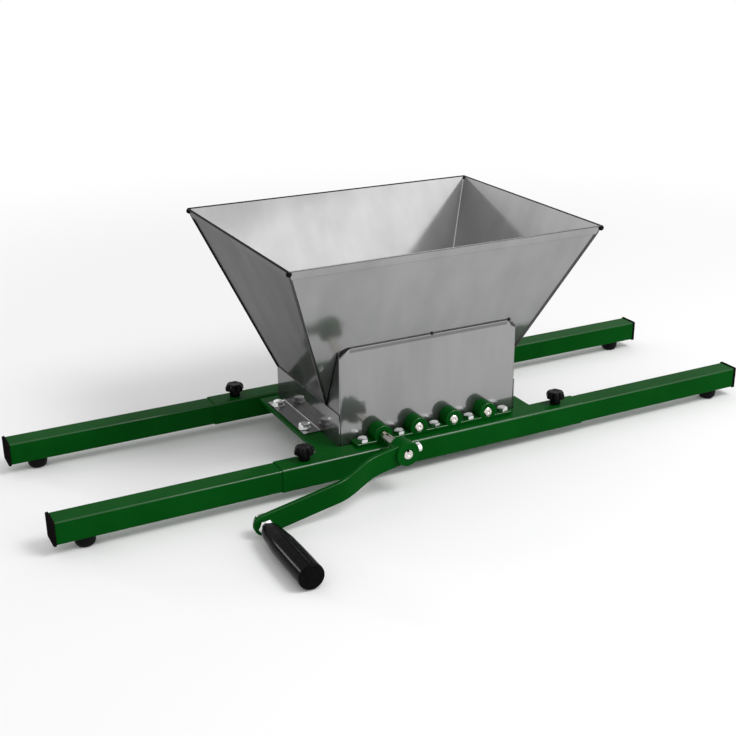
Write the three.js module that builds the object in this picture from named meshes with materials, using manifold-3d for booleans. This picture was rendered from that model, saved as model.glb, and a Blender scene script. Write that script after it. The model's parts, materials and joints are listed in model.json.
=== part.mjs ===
// Hand cranked apple scratter, in millimetres. X runs along the rails, -Y is the crank side, Z is up.
// The floor under the feet is Z = 0.
import * as THREE from "three";
import { mergeVertices } from "three/addons/utils/BufferGeometryUtils.js";
import Module from "manifold-3d";

const wasm = await Module();
wasm.setup();

// Clearances
const gap = 0.3;
const shaftFit = 0.3;
const boltFit = 0.35;
const tubeFit = 0.3;

// Rails: a sleeve on each side and an extension arm in each of its ends
const railSpacing = 232.8;
const railAxisHeight = 28;
const armSection = 29;
const armWall = 1.5;
const armCorner = 2.4;
const armInnerEnd = 150;
const armOuterEnd = 496.2;
const sleeveWall = 1;
const sleeveHalfLength = 222.5;
const capPlate = 3.5;
const capLip = 1.2;
const capPlug = 14;
const footDiameter = 25;
const footInset = 34.7;

// Crossbars between the sleeves
const crossbarOuterEdge = 158.5;
const crossbarWidth = 45;
const crossbarThickness = 6;
const crossbarStep = 3.3;

// Clamp knobs on the sleeves
const knobPlace = 187;
const knobHeadRadius = 13;
const knobHeadHeight = 9.8;
const knobStemRadius = 7.2;
const knobStemHeight = 8;
const knobLobes = 6;
const knobLobeDepth = 2.3;
const knobCrownDrop = 5;
const knobCrownFlat = 0.7;
const studRadius = 4;

// Hopper, measured over its outer faces
const sheet = 1.2;
const rimHalfLength = 216.3;
const rimFront = -155.4;
const rimBack = 179.4;
const rimHeight = 298;
const hemHeight = 12;
const hemStep = 1;
const throatHalfLength = 129.4;
const throatFront = -59.6;
const throatBack = 93.5;
const throatHeight = 84.1;
const seamReach = 2.5;
const seamThickness = 1.8;
const wallEndHeight = 80;
const lipEndHeight = 46;
const lipInset = 112;

// Front cover
const coverFace = -100;
const coverTop = 170.4;
const coverCornerRun = 14.5;
const coverCornerDrop = 8.5;
const coverReturnStep = 3;
const coverReturnFoot = 8;

// Side panels and their flanges on the crossbars
const flangeFront = -43;
const flangeBack = 76;
const flangeWidth = 24.8;
const flangeBoltInset = 17;
const flangeBoltReach = 15.3;

// Bearing strips
const stripTop = 48.3;
const stripHalfLength = 115;
const bossRadius = 12.8;
const bossReach = 18.4;
const stripBoltReach = 11.9;
const plateHoleFit = 1;

// Shafts, gears and rollers
const shaftCount = 4;
const shaftPitch = 52;
const shaftHeight = 54.1;
const shaftRadius = 6;
const shaftProud = 0.6;
const shaftChamfer = 0.6;
const dimpleRadius = 1.7;
const dimpleDepth = 1.4;
const gearTeeth = 20;
const gearWidth = 12;
const gearBack = -79;
const rollerRadius = 24;
const rollerTeeth = 10;
const rollerToothDepth = 4.5;
const rollerEndPlay = 1.5;

// Crank, with its arm's angle below the level
const crankShaftEnd = -184.7;
const keySlotWidth = 3.4;
const keySlotDepth = 2.2;
const keySlotAngle = 100;
const hubRadius = 15.5;
const hubBack = -160;
const hubFront = -183.6;
const crankAngle = 10.95;
const crankLength = 201.2;
const crankBarWidth = 25.8;
const crankBarThickness = 6;
const crankInnerFace = -179;
const crankOuterFace = -201.6;
const crankBendStart = 36;
const crankBendEnd = 106;
const gripPinRadius = 5;
const gripPinHeadAcrossFlats = 19;
const gripPinHead = 8;
const gripPinEndGap = 5;
const gripNutAcrossFlats = 17;
const gripNutThickness = 6.5;
const gripHexPhase = Math.PI / 7.5;
const gripLength = 122;
const gripEndWall = 8;
const gripEndRadius = 15.4;
const gripNeckRadius = 10.3;
const gripCollarRadius = 6.5;
const gripCollarLength = 3;

// Hexagon bolts
const boltRadius = 4;
const boltAcrossFlats = 13;
const boltHeadHeight = 4.6;
const boltCrownDrop = 4.2;
const flangeBoltSpare = 4;
const washerRadius = 8.4;
const washerThickness = 1.5;

// Values that follow from the ones above
const railY = railSpacing / 2;
const footPlace = armOuterEnd - footInset;
const sleeveInner = armSection + 2 * tubeFit;
const sleeveOuter = sleeveInner + 2 * sleeveWall;
const sleeveTop = railAxisHeight + sleeveOuter / 2;
const armTop = railAxisHeight + armSection / 2;
const armBottom = railAxisHeight - armSection / 2;
const crossbarTop = sleeveTop - crossbarStep;
const crossbarEndY = railY - sleeveOuter / 2 - gap;
const panelInner = throatHalfLength + gap;
const panelOuter = panelInner + sheet;
const panelBottom = crossbarTop + gap;
const backPlateInner = throatBack + gap;
const backPlateOuter = backPlateInner + sheet;
const innerPlateBack = throatFront - gap;
const innerPlateFront = innerPlateBack - sheet;
const wallSlope = (throatFront - rimFront) / (rimHeight - throatHeight);
const bore = shaftRadius + shaftFit;
const boltHole = boltRadius + boltFit;
const frontStripBack = coverFace - gap;
const frontBossEnd = frontStripBack - bossReach;
const backStripFront = backPlateOuter + gap;
const backBossEnd = backStripFront + bossReach;
const stripBottom = sleeveTop + gap;
const gearModule = shaftPitch / gearTeeth;
const gripStart = crankOuterFace - gap - gripNutThickness - gap;
const gripEnd = gripStart - gripLength;
const seamStand = seamReach / Math.SQRT2;
// The part's origin is under the middle of its outline
const outlineMiddleY = (gripEnd + rimBack + hemStep) / 2;

const green = { color: 0x0e5220, roughness: 0.32, metalness: 0.1 };
const stainless = { color: 0x9a9b99, roughness: 0.3, metalness: 1 };
const brightSteel = { color: 0xc9c8c2, roughness: 0.22, metalness: 1 };
const zinc = { color: 0xd9dcdc, roughness: 0.35, metalness: 1 };
const plastic = { color: 0x0b0b0c, roughness: 0.35, metalness: 0 };
const rubber = { color: 0x101011, roughness: 0.8, metalness: 0 };
const castSteel = { color: 0x777a7c, roughness: 0.45, metalness: 1 };

function solidOf(geometry) {
  const bare = geometry.index ? geometry.toNonIndexed() : geometry.clone();
  bare.deleteAttribute("normal");
  bare.deleteAttribute("uv");
  const merged = mergeVertices(bare, 1e-4);
  return new wasm.Manifold(
    new wasm.Mesh({
      numProp: 3,
      vertProperties: merged.attributes.position.array,
      triVerts: new Uint32Array(merged.index.array),
    }),
  );
}

function geometryOf(body) {
  const mesh = body.getMesh();
  const step = mesh.numProp;
  const positions = new Float32Array(mesh.numVert * 3);
  for (let i = 0; i < mesh.numVert; i++) {
    positions.set(mesh.vertProperties.subarray(i * step, i * step + 3), i * 3);
  }
  const indexed = new THREE.BufferGeometry();
  indexed.setAttribute("position", new THREE.BufferAttribute(positions, 3));
  indexed.setIndex(new THREE.BufferAttribute(mesh.triVerts, 1));
  const faceted = indexed.toNonIndexed();
  faceted.computeVertexNormals();
  return faceted;
}

const joined = (bodies) => bodies.reduce((whole, body) => whole.add(body));
const cut = (body, tools) => tools.reduce((rest, tool) => rest.subtract(tool), body);

function extruded(outline, hollow, depth) {
  const shape = new THREE.Shape(outline.map(([u, v]) => new THREE.Vector2(u, v)));
  if (hollow) {
    shape.holes.push(new THREE.Path(hollow.map(([u, v]) => new THREE.Vector2(u, v))));
  }
  return new THREE.ExtrudeGeometry(shape, { depth, bevelEnabled: false });
}

// An outline of [y, z] points drawn out along X
function alongX(outline, from, to, hollow = null) {
  const turn = new THREE.Matrix4().set(0, 0, 1, from, 1, 0, 0, 0, 0, 1, 0, 0, 0, 0, 0, 1);
  return solidOf(extruded(outline, hollow, to - from).applyMatrix4(turn));
}

// An outline of [x, z] points drawn out along Y
function alongY(outline, from, to) {
  const turn = new THREE.Matrix4().set(1, 0, 0, 0, 0, 0, -1, to, 0, 1, 0, 0, 0, 0, 0, 1);
  return solidOf(extruded(outline, null, to - from).applyMatrix4(turn));
}

// An outline of [x, y] points drawn out along Z
function alongZ(outline, from, to) {
  return solidOf(extruded(outline, null, to - from).translate(0, 0, from));
}

function block(x0, x1, y0, y1, z0, z1) {
  const box = new THREE.BoxGeometry(x1 - x0, y1 - y0, z1 - z0);
  return solidOf(box.translate((x0 + x1) / 2, (y0 + y1) / 2, (z0 + z1) / 2));
}

function circle(cu, cv, radius, sides, phase = 0) {
  const points = [];
  for (let i = 0; i < sides; i++) {
    const angle = phase + (2 * Math.PI * i) / sides;
    points.push([cu + radius * Math.cos(angle), cv + radius * Math.sin(angle)]);
  }
  return points;
}

function roundedSquare(cu, cv, size, corner) {
  const points = [];
  const reach = size / 2 - corner;
  for (let side = 0; side < 4; side++) {
    const start = (side * Math.PI) / 2;
    const signU = side === 0 || side === 3 ? 1 : -1;
    const signV = side < 2 ? 1 : -1;
    for (let i = 0; i <= 3; i++) {
      const angle = start + (i * Math.PI) / 6;
      points.push([
        cu + signU * reach + corner * Math.cos(angle),
        cv + signV * reach + corner * Math.sin(angle),
      ]);
    }
  }
  return points;
}

const hexagon = (cu, cv, acrossFlats, phase = 0) =>
  circle(cu, cv, acrossFlats / Math.sqrt(3), 6, phase);

// A turned solid about Z from [radius, height] points
function turned(profile, sides) {
  const points = profile.map(([radius, height]) => new THREE.Vector2(radius, height));
  points.push(points[0].clone());
  return solidOf(new THREE.LatheGeometry(points, sides).rotateX(Math.PI / 2));
}

// A solid between two level four-cornered outlines, each with its corners anticlockwise from above
function lofted(lowZ, low, highZ, high) {
  const corners = [...low.map(([x, y]) => [x, y, lowZ]), ...high.map(([x, y]) => [x, y, highZ])];
  const geometry = new THREE.BufferGeometry();
  geometry.setAttribute("position", new THREE.Float32BufferAttribute(corners.flat(), 3));
  const faces = [
    [3, 2, 1, 0], [4, 5, 6, 7], [0, 1, 5, 4], [1, 2, 6, 5], [2, 3, 7, 6], [3, 0, 4, 7],
  ];
  geometry.setIndex(faces.flatMap(([a, b, c, d]) => [a, b, c, a, c, d]));
  return solidOf(geometry);
}

// A solid whose cross-section is a rectangle [x0, x1, y0, y1] at each of two heights
function tapered(lowZ, low, highZ, high) {
  const outline = ([x0, x1, y0, y1]) => [[x0, y0], [x1, y0], [x1, y1], [x0, y1]];
  return lofted(lowZ, outline(low), highZ, outline(high));
}

const root = new THREE.Group();
root.name = "apple_scratter";
root.position.y = -outlineMiddleY;

function addNode(name, body, finish) {
  const material = new THREE.MeshStandardMaterial(finish);
  material.name = name + "_finish";
  const mesh = new THREE.Mesh(geometryOf(body), material);
  mesh.name = name;
  root.add(mesh);
}

// Each side's name and sign
const ends = [["left", -1], ["right", 1]];
const sides = [["front", -1], ["back", 1]];

// Crossbar bolts run down through the panel flanges
const flangeBoltX = panelOuter + flangeBoltReach;
const flangeBoltYs = [flangeFront + flangeBoltInset, flangeBack - flangeBoltInset];

// Sleeves
for (const [side, signY] of sides) {
  const y = signY * railY;
  const tube = alongX(
    roundedSquare(y, railAxisHeight, sleeveOuter, armCorner + sleeveWall),
    -sleeveHalfLength,
    sleeveHalfLength,
    roundedSquare(y, railAxisHeight, sleeveInner, armCorner),
  );
  const studHoles = ends.map(([, signX]) =>
    alongZ(circle(signX * knobPlace, y, studRadius + boltFit, 16), railAxisHeight, sleeveTop + 1),
  );
  addNode(side + "_sleeve", cut(tube, studHoles), green);
}

// Crossbars
for (const [end, signX] of ends) {
  const edges = [signX * crossbarOuterEdge, signX * (crossbarOuterEdge - crossbarWidth)];
  const bar = block(
    Math.min(...edges),
    Math.max(...edges),
    -crossbarEndY,
    crossbarEndY,
    crossbarTop - crossbarThickness,
    crossbarTop,
  );
  const holes = flangeBoltYs.map((y) =>
    alongZ(circle(signX * flangeBoltX, y, boltHole, 16), 0, crossbarTop + 1),
  );
  addNode(end + "_crossbar", cut(bar, holes), green);
}

// Extension arms with their end caps, feet and clamp knobs
function knobOutline(cx, cy, radius) {
  const points = [];
  const count = knobLobes * 4;
  for (let i = 0; i < count; i++) {
    const angle = (2 * Math.PI * i) / count;
    const wave = (1 + Math.cos(knobLobes * angle)) / 2;
    const reach = radius - knobLobeDepth * (1 - Math.sqrt(wave));
    points.push([cx + reach * Math.cos(angle), cy + reach * Math.sin(angle)]);
  }
  return points;
}

for (const [side, signY] of sides) {
  for (const [end, signX] of ends) {
    const corner = side + "_" + end;
    const y = signY * railY;
    const along = (section, from, to, hollow = null) => {
      const reach = [signX * from, signX * to].sort((a, b) => a - b);
      return alongX(section, reach[0], reach[1], hollow);
    };
    const armHollow = armSection - 2 * armWall;
    const arm = along(
      roundedSquare(y, railAxisHeight, armSection, armCorner),
      armInnerEnd,
      armOuterEnd,
      roundedSquare(y, railAxisHeight, armHollow, armCorner - armWall),
    );
    addNode(corner + "_arm", arm, green);

    const plugSize = armHollow - 2 * gap;
    const cap = joined([
      along(
        roundedSquare(y, railAxisHeight, armSection + 2 * capLip, armCorner),
        armOuterEnd + gap,
        armOuterEnd + gap + capPlate,
      ),
      along(
        roundedSquare(y, railAxisHeight, plugSize, armCorner - armWall),
        armOuterEnd - capPlug,
        armOuterEnd + gap + capPlate / 2,
      ),
    ]);
    addNode(corner + "_end_cap", cap, plastic);

    const footTop = armBottom - gap;
    const footRadius = footDiameter / 2;
    const foot = turned(
      [
        [0, 0],
        [footRadius * 0.66, 0],
        [footRadius * 0.86, footTop * 0.14],
        [footRadius * 0.97, footTop * 0.4],
        [footRadius, footTop * 0.7],
        [footRadius, footTop],
        [0, footTop],
      ],
      24,
    ).translate([signX * footPlace, y, 0]);
    addNode(corner + "_foot", foot, rubber);

    const x = signX * knobPlace;
    const stemTop = sleeveTop + gap + knobStemHeight;
    const headTop = stemTop + knobHeadHeight;
    const crown = turned(
      [
        [0, headTop],
        [knobHeadRadius * knobCrownFlat, headTop],
        [knobHeadRadius * 0.95, headTop - knobCrownDrop * 0.7],
        [knobHeadRadius * 1.02, headTop - knobCrownDrop],
        [knobHeadRadius * 1.02, stemTop + 1.2],
        [knobHeadRadius * 0.9, stemTop],
        [0, stemTop - 1],
      ].reverse(),
      24,
    ).translate([x, y, 0]);
    const head = alongZ(knobOutline(x, y, knobHeadRadius), stemTop - 2, headTop + 2);
    const stem = turned(
      [
        [0, sleeveTop + gap],
        [knobStemRadius * 0.92, sleeveTop + gap],
        [knobStemRadius, sleeveTop + gap + 1],
        [knobStemRadius, stemTop + 2],
        [0, stemTop + 2],
      ],
      24,
    ).translate([x, y, 0]);
    const stud = alongZ(circle(x, y, studRadius, 16), armTop + gap, stemTop);
    addNode(corner + "_knob", joined([head.intersect(crown), stem, stud]), plastic);
  }
}

// Hopper: four tapered walls with a hem, and side walls that reach down beside the rollers
function hopperSection(z, inset) {
  const t = (z - throatHeight) / (rimHeight - throatHeight);
  const halfLength = throatHalfLength + t * (rimHalfLength - throatHalfLength) - inset;
  return [
    -halfLength,
    halfLength,
    throatFront + t * (rimFront - throatFront) + inset,
    throatBack + t * (rimBack - throatBack) - inset,
  ];
}
const hopperTaper = (lowZ, highZ, inset) =>
  tapered(lowZ, hopperSection(lowZ, inset), highZ, hopperSection(highZ, inset));
const hopperShell = joined([
  hopperTaper(lipEndHeight, rimHeight, 0),
  hopperTaper(rimHeight - hemHeight, rimHeight, -hemStep),
]);

// A seam stands out diagonally along a corner, from the throat to the hem
function cornerSeam(signX, signY) {
  const half = (seamThickness / 2) * Math.SQRT1_2;
  const outline = (z) => {
    const [, x, front, back] = hopperSection(z, 0);
    const y = signY < 0 ? front : back;
    const strip = [
      [-sheet - half, -sheet + half],
      [seamStand - half, seamStand + half],
      [seamStand + half, seamStand - half],
      [-sheet + half, -sheet - half],
    ].map(([u, v]) => [signX * (x + u), y + signY * v]);
    return signX * signY > 0 ? strip.reverse() : strip;
  };
  const low = throatHeight + gap;
  const high = rimHeight - hemHeight + gap;
  return lofted(low, outline(low), high, outline(high));
}
const seams = sides.flatMap(([, signY]) => ends.map(([, signX]) => cornerSeam(signX, signY)));
addNode(
  "hopper",
  cut(hopperShell, [
    hopperTaper(lipEndHeight - 5, rimHeight + 5, sheet),
    block(-lipInset, lipInset, rimFront, rimBack, lipEndHeight - 5, wallEndHeight),
  ]).add(joined(seams).subtract(hopperTaper(throatHeight, rimHeight + 5, sheet))),
  stainless,
);

// Shaft places and the holes they need
const shaftXs = [];
for (let i = 0; i < shaftCount; i++) {
  shaftXs.push((i - (shaftCount - 1) / 2) * shaftPitch);
}
const stripBoltXs = [shaftXs[0] - shaftPitch / 2, ...shaftXs.map((x) => x + shaftPitch / 2)];
const shaftHoles = (from, to, radius) =>
  shaftXs.map((x) => alongY(circle(x, shaftHeight, radius, 16), from, to));

// Front cover, folded back at both ends up to the hopper's sloping wall
const coverHalf = throatHalfLength;
const coverOutline = [
  [-coverHalf, panelBottom],
  [coverHalf, panelBottom],
  [coverHalf, coverTop - coverCornerDrop],
  [coverHalf - coverCornerRun, coverTop],
  [-coverHalf + coverCornerRun, coverTop],
  [-coverHalf, coverTop - coverCornerDrop],
];
const slopeAt = (z) => throatFront - (z - throatHeight) * wallSlope - gap;
const returnTop = coverTop - coverCornerDrop - coverReturnStep;
const returnOutline = [
  [coverFace, panelBottom],
  [innerPlateFront - gap, panelBottom],
  [innerPlateFront - gap, throatHeight],
  [slopeAt(throatHeight + coverReturnFoot), throatHeight + coverReturnFoot],
  [slopeAt(returnTop), returnTop],
  [coverFace, returnTop],
];
const frontCover = joined([
  alongY(coverOutline, coverFace, coverFace + sheet),
  alongX(returnOutline, -coverHalf, -coverHalf + sheet),
  alongX(returnOutline, coverHalf - sheet, coverHalf),
]);
addNode(
  "front_cover",
  cut(frontCover, shaftHoles(coverFace - 1, coverFace + 2 * sheet, bore + plateHoleFit)),
  stainless,
);

// Cross walls of the roller box
const crossWall = (y0, y1) =>
  block(-throatHalfLength, throatHalfLength, y0, y1, panelBottom, throatHeight - gap);
addNode(
  "inner_front_plate",
  cut(
    crossWall(innerPlateFront, innerPlateBack),
    shaftHoles(innerPlateFront - 1, innerPlateBack + 1, bore + plateHoleFit),
  ),
  stainless,
);
addNode(
  "back_plate",
  cut(
    crossWall(backPlateInner, backPlateOuter),
    shaftHoles(backPlateInner - 1, backPlateOuter + 1, bore + plateHoleFit),
  ),
  stainless,
);

// Side panels with the flange that is bolted to the crossbar
for (const [end, signX] of ends) {
  const span = (a, b) => [signX * a, signX * b].sort((p, q) => p - q);
  const wall = block(
    ...span(panelInner, panelOuter),
    coverFace + sheet,
    backPlateOuter,
    panelBottom,
    throatHeight,
  );
  const flange = block(
    ...span(panelInner, panelOuter + flangeWidth - sheet),
    flangeFront,
    flangeBack,
    panelBottom,
    panelBottom + sheet,
  );
  const holes = flangeBoltYs.map((y) =>
    alongZ(circle(signX * flangeBoltX, y, boltHole, 16), 0, panelBottom + 3),
  );
  addNode(end + "_side_panel", cut(wall.add(flange), holes), stainless);
}

// Bearing strips: a low bar with four bearing bosses, one bar on each sleeve
function bearingStrip(from, to, boltY) {
  const bosses = shaftXs.map((x) => alongY(circle(x, shaftHeight, bossRadius, 24), from, to));
  const bar = block(-stripHalfLength, stripHalfLength, from, to, stripBottom, stripTop);
  const reach = stripHalfLength + 1;
  return cut(joined([bar, ...bosses]), [
    block(-reach, reach, from - 1, to + 1, 0, stripBottom),
    ...shaftHoles(from - 1, to + 1, bore),
    ...stripBoltXs.map((x) => alongZ(circle(x, boltY, boltHole, 12), stripBottom - 1, stripTop + 1)),
  ]);
}
const stripSpans = {
  front: [frontBossEnd, frontStripBack, frontStripBack - stripBoltReach],
  back: [backStripFront, backBossEnd, backStripFront + stripBoltReach],
};
for (const side in stripSpans) {
  addNode(side + "_bearing_strip", bearingStrip(...stripSpans[side]), green);
}

// A hexagon bolt that stands on Z = 0 with its shank below
function hexBolt(shankLength, washer) {
  const lift = washer ? washerThickness : 0;
  const parts = [
    alongZ(hexagon(0, 0, boltAcrossFlats), lift, lift + boltHeadHeight),
    alongZ(circle(0, 0, boltRadius, 12), -shankLength, lift + 1),
  ];
  const dome = turned(
    [
      [0, lift - 1],
      [boltAcrossFlats, lift - 1],
      [boltAcrossFlats, lift + boltHeadHeight - boltCrownDrop],
      [boltAcrossFlats / 2 - 0.3, lift + boltHeadHeight],
      [0, lift + boltHeadHeight],
    ],
    12,
  );
  parts[0] = parts[0].intersect(dome);
  if (washer) {
    parts.push(alongZ(circle(0, 0, washerRadius, 18), 0, washerThickness));
  }
  return joined(parts);
}

// The strips' bolts stand between the bosses
stripBoltXs.forEach((x, i) => {
  for (const side in stripSpans) {
    const boltY = stripSpans[side][2];
    const bolt = hexBolt(stripTop + gap - stripBottom, false).translate([x, boltY, stripTop + gap]);
    addNode(side + "_strip_bolt_" + (i + 1), bolt, zinc);
  }
});

for (const [end, signX] of ends) {
  flangeBoltYs.forEach((y, i) => {
    const bolt = hexBolt(sheet + 2 * gap + crossbarThickness + flangeBoltSpare, true)
      .rotate([0, 0, 10 + 25 * i])
      .translate([signX * flangeBoltX, y, panelBottom + sheet + gap]);
    addNode(end + "_flange_bolt_" + (i + 1), bolt, zinc);
  });
}

// Shafts with chamfered, dimpled ends
function shaftBody(x, from, to) {
  const profile = [
    [0, from + dimpleDepth],
    [dimpleRadius, from],
    [shaftRadius - shaftChamfer, from],
    [shaftRadius, from + shaftChamfer],
    [shaftRadius, to - shaftChamfer],
    [shaftRadius - shaftChamfer, to],
    [dimpleRadius, to],
    [0, to - dimpleDepth],
  ];
  return turned(profile, 20).rotate([-90, 0, 0]).translate([x, 0, shaftHeight]);
}

// Spur gear outline with straight-sided teeth
function gearOutline(cx, cz, phase) {
  const points = [];
  const pitchRadius = shaftPitch / 2;
  const marks = [
    [-0.3, -1.15],
    [-0.12, 0.9],
    [0.12, 0.9],
    [0.3, -1.15],
  ];
  for (let tooth = 0; tooth < gearTeeth; tooth++) {
    for (const [part, height] of marks) {
      const angle = phase + (2 * Math.PI * (tooth + part)) / gearTeeth;
      const radius = pitchRadius + height * gearModule;
      points.push([cx + radius * Math.cos(angle), cz + radius * Math.sin(angle)]);
    }
  }
  return points;
}

// Roller outline with saw teeth that lean the way the roller turns
function rollerOutline(cx, cz, lean) {
  const points = [];
  const low = rollerRadius - rollerToothDepth;
  const marks = [
    [0, low],
    [0.08, rollerRadius],
    [0.3, rollerRadius],
    [0.55, low],
  ];
  for (let tooth = 0; tooth < rollerTeeth; tooth++) {
    for (const [part, radius] of marks) {
      const angle = (lean * 2 * Math.PI * (tooth + part)) / rollerTeeth;
      points.push([cx + radius * Math.cos(angle), cz + radius * Math.sin(angle)]);
    }
  }
  return lean > 0 ? points : points.reverse();
}

const rollerFrom = innerPlateBack + rollerEndPlay;
const rollerTo = backPlateInner - rollerEndPlay;
shaftXs.forEach((x, i) => {
  const number = i + 1;
  const boreTool = alongY(
    circle(x, shaftHeight, bore, 16),
    gearBack - gearWidth - 1,
    rollerTo + 1,
  );
  const backEnd = backBossEnd + shaftProud;
  if (i === 0) {
    const slot = block(
      shaftRadius - keySlotDepth,
      shaftRadius + 1,
      crankShaftEnd - 1,
      frontBossEnd - 2,
      -keySlotWidth / 2,
      keySlotWidth / 2,
    )
      .rotate([0, -keySlotAngle, 0])
      .translate([x, 0, shaftHeight]);
    addNode("shaft_1", shaftBody(x, crankShaftEnd, backEnd).subtract(slot), brightSteel);
  } else {
    addNode("shaft_" + number, shaftBody(x, frontBossEnd - shaftProud, backEnd), brightSteel);
  }
  const phase = i % 2 ? Math.PI / gearTeeth : 0;
  const gear = alongY(gearOutline(x, shaftHeight, phase), gearBack - gearWidth, gearBack);
  addNode("gear_" + number, gear.subtract(boreTool), castSteel);
  const lean = i % 2 ? -1 : 1;
  const roller = alongY(rollerOutline(x, shaftHeight, lean), rollerFrom, rollerTo);
  addNode("roller_" + number, roller.subtract(boreTool), castSteel);
});

// Crank arm: drawn with its length along +X, then turned to its angle about the first shaft
const crankTurn = 180 - crankAngle;
const placeOnCrank = (body) =>
  body.rotate([0, crankTurn, 0]).translate([shaftXs[0], 0, shaftHeight]);

function bendProfile() {
  const outer = [];
  const inner = [];
  const steps = 12;
  const push = (r, face) => {
    outer.push([r, face]);
    inner.push([r, face + crankBarThickness]);
  };
  push(0, crankInnerFace);
  for (let i = 0; i <= steps; i++) {
    const t = i / steps;
    const ease = t * t * (3 - 2 * t);
    push(
      crankBendStart + t * (crankBendEnd - crankBendStart),
      crankInnerFace + ease * (crankOuterFace - crankInnerFace),
    );
  }
  push(crankLength + crankBarWidth, crankOuterFace);
  return [...outer, ...inner.reverse()];
}

const crankBarHalf = crankBarWidth / 2;
const crankPlan = [[0, -crankBarHalf]];
for (let i = 0; i <= 12; i++) {
  const angle = -Math.PI / 2 + (i * Math.PI) / 12;
  crankPlan.push([
    crankLength + crankBarHalf * Math.cos(angle),
    crankBarHalf * Math.sin(angle),
  ]);
}
crankPlan.push([0, crankBarHalf]);
const crankBar = alongZ(bendProfile(), -crankBarHalf, crankBarHalf).intersect(
  alongY(crankPlan, crankOuterFace - 5, hubBack),
);
const hub = alongY(circle(0, 0, hubRadius, 32), hubFront, hubBack);
const setScrewY = crankInnerFace + crankBarThickness / 2;
const setScrewHole = alongX(circle(setScrewY, 0, boltHole, 12), -hubRadius - 2, 0);
addNode(
  "crank_arm",
  placeOnCrank(
    cut(crankBar.add(hub), [
      alongY(circle(0, 0, bore, 24), hubFront - 1, hubBack + 1),
      alongY(
        circle(crankLength, 0, gripPinRadius + gap, 16),
        crankOuterFace - 1,
        crankOuterFace + crankBarThickness + 1,
      ),
      setScrewHole,
    ]),
  ),
  green,
);
const setScrew = hexBolt(hubRadius - shaftRadius, false)
  .rotate([0, -90, 0])
  .translate([-hubRadius - gap, setScrewY, 0]);
addNode("crank_set_screw", placeOnCrank(setScrew), zinc);

// Grip with its pin and nut
const pinBack = crankOuterFace + crankBarThickness + gap;
const pinFront = gripEnd + gripEndWall + gripPinEndGap;
const pin = joined([
  alongY(circle(crankLength, 0, gripPinRadius, 16), pinFront, pinBack + 1),
  alongY(
    hexagon(crankLength, 0, gripPinHeadAcrossFlats, gripHexPhase),
    pinBack,
    pinBack + gripPinHead,
  ),
]);
addNode("grip_pin", placeOnCrank(pin), zinc);
const nutFrom = crankOuterFace - gap - gripNutThickness;
const nut = cut(
  alongY(
    hexagon(crankLength, 0, gripNutAcrossFlats, gripHexPhase),
    nutFrom,
    crankOuterFace - gap,
  ),
  [alongY(circle(crankLength, 0, gripPinRadius + gap, 16), nutFrom - 1, crankOuterFace)],
);
addNode("grip_nut", placeOnCrank(nut), zinc);

const gripProfile = [
  [gripPinRadius + gap, 0],
  [gripCollarRadius, 0],
  [gripCollarRadius, gripCollarLength],
  [gripNeckRadius, gripLength * 0.055],
  [gripEndRadius * 0.78, gripLength * 0.12],
  [gripEndRadius * 0.845, gripLength * 0.23],
  [gripEndRadius * 0.96, gripLength * 0.37],
  [gripEndRadius, gripLength * 0.6],
  [gripEndRadius, gripLength - 2.5],
  [gripEndRadius - 0.8, gripLength - 0.7],
  [gripEndRadius - 2.5, gripLength],
  [0, gripLength],
  [0, gripLength - gripEndWall],
  [gripPinRadius + gap, gripLength - gripEndWall],
];
const grip = turned(gripProfile, 32).rotate([90, 0, 0]).translate([crankLength, gripStart, 0]);
addNode("grip", placeOnCrank(grip), plastic);

export default root;
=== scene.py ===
"""Looks, light and camera of a hand cranked apple scratter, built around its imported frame.

Pieces are drawn in millimetres in the frame's axes and scaled to metres when their mesh is made.
"""
import json
import math

import bmesh
import bpy
from mathutils import Matrix, Vector


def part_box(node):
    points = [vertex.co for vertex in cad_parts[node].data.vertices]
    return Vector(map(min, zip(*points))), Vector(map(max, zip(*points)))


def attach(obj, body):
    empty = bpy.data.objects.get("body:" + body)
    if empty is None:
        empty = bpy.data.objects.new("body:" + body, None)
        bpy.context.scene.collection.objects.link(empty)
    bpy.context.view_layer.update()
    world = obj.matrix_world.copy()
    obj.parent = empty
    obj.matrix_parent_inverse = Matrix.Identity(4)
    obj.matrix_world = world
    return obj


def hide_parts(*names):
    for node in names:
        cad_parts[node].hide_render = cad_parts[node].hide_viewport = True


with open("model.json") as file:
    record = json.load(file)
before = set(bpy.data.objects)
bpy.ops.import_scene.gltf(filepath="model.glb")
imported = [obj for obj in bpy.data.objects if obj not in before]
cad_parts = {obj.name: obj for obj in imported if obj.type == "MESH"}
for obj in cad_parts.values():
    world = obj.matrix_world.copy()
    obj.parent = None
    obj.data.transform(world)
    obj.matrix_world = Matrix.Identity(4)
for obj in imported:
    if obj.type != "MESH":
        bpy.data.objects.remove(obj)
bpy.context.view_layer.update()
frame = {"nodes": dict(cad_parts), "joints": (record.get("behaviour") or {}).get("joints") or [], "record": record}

MM = 0.001

# Radius of a turned shape where it closes, and of a bend that is sharp
TINY = 0.01

# Camera, solved from the straight edges of the photograph
CAMERA_AZIMUTH = -28.26
CAMERA_ELEVATION = 22.17
CAMERA_DISTANCE = 1649.4
CAMERA_TARGET_HEIGHT = 61.9
IMAGE_SIDE = 736
FOCAL_PIXELS = 1205.45
CENTRE_PIXEL = (393.63, 387.18)
SENSOR_WIDTH = 36.0

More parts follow.
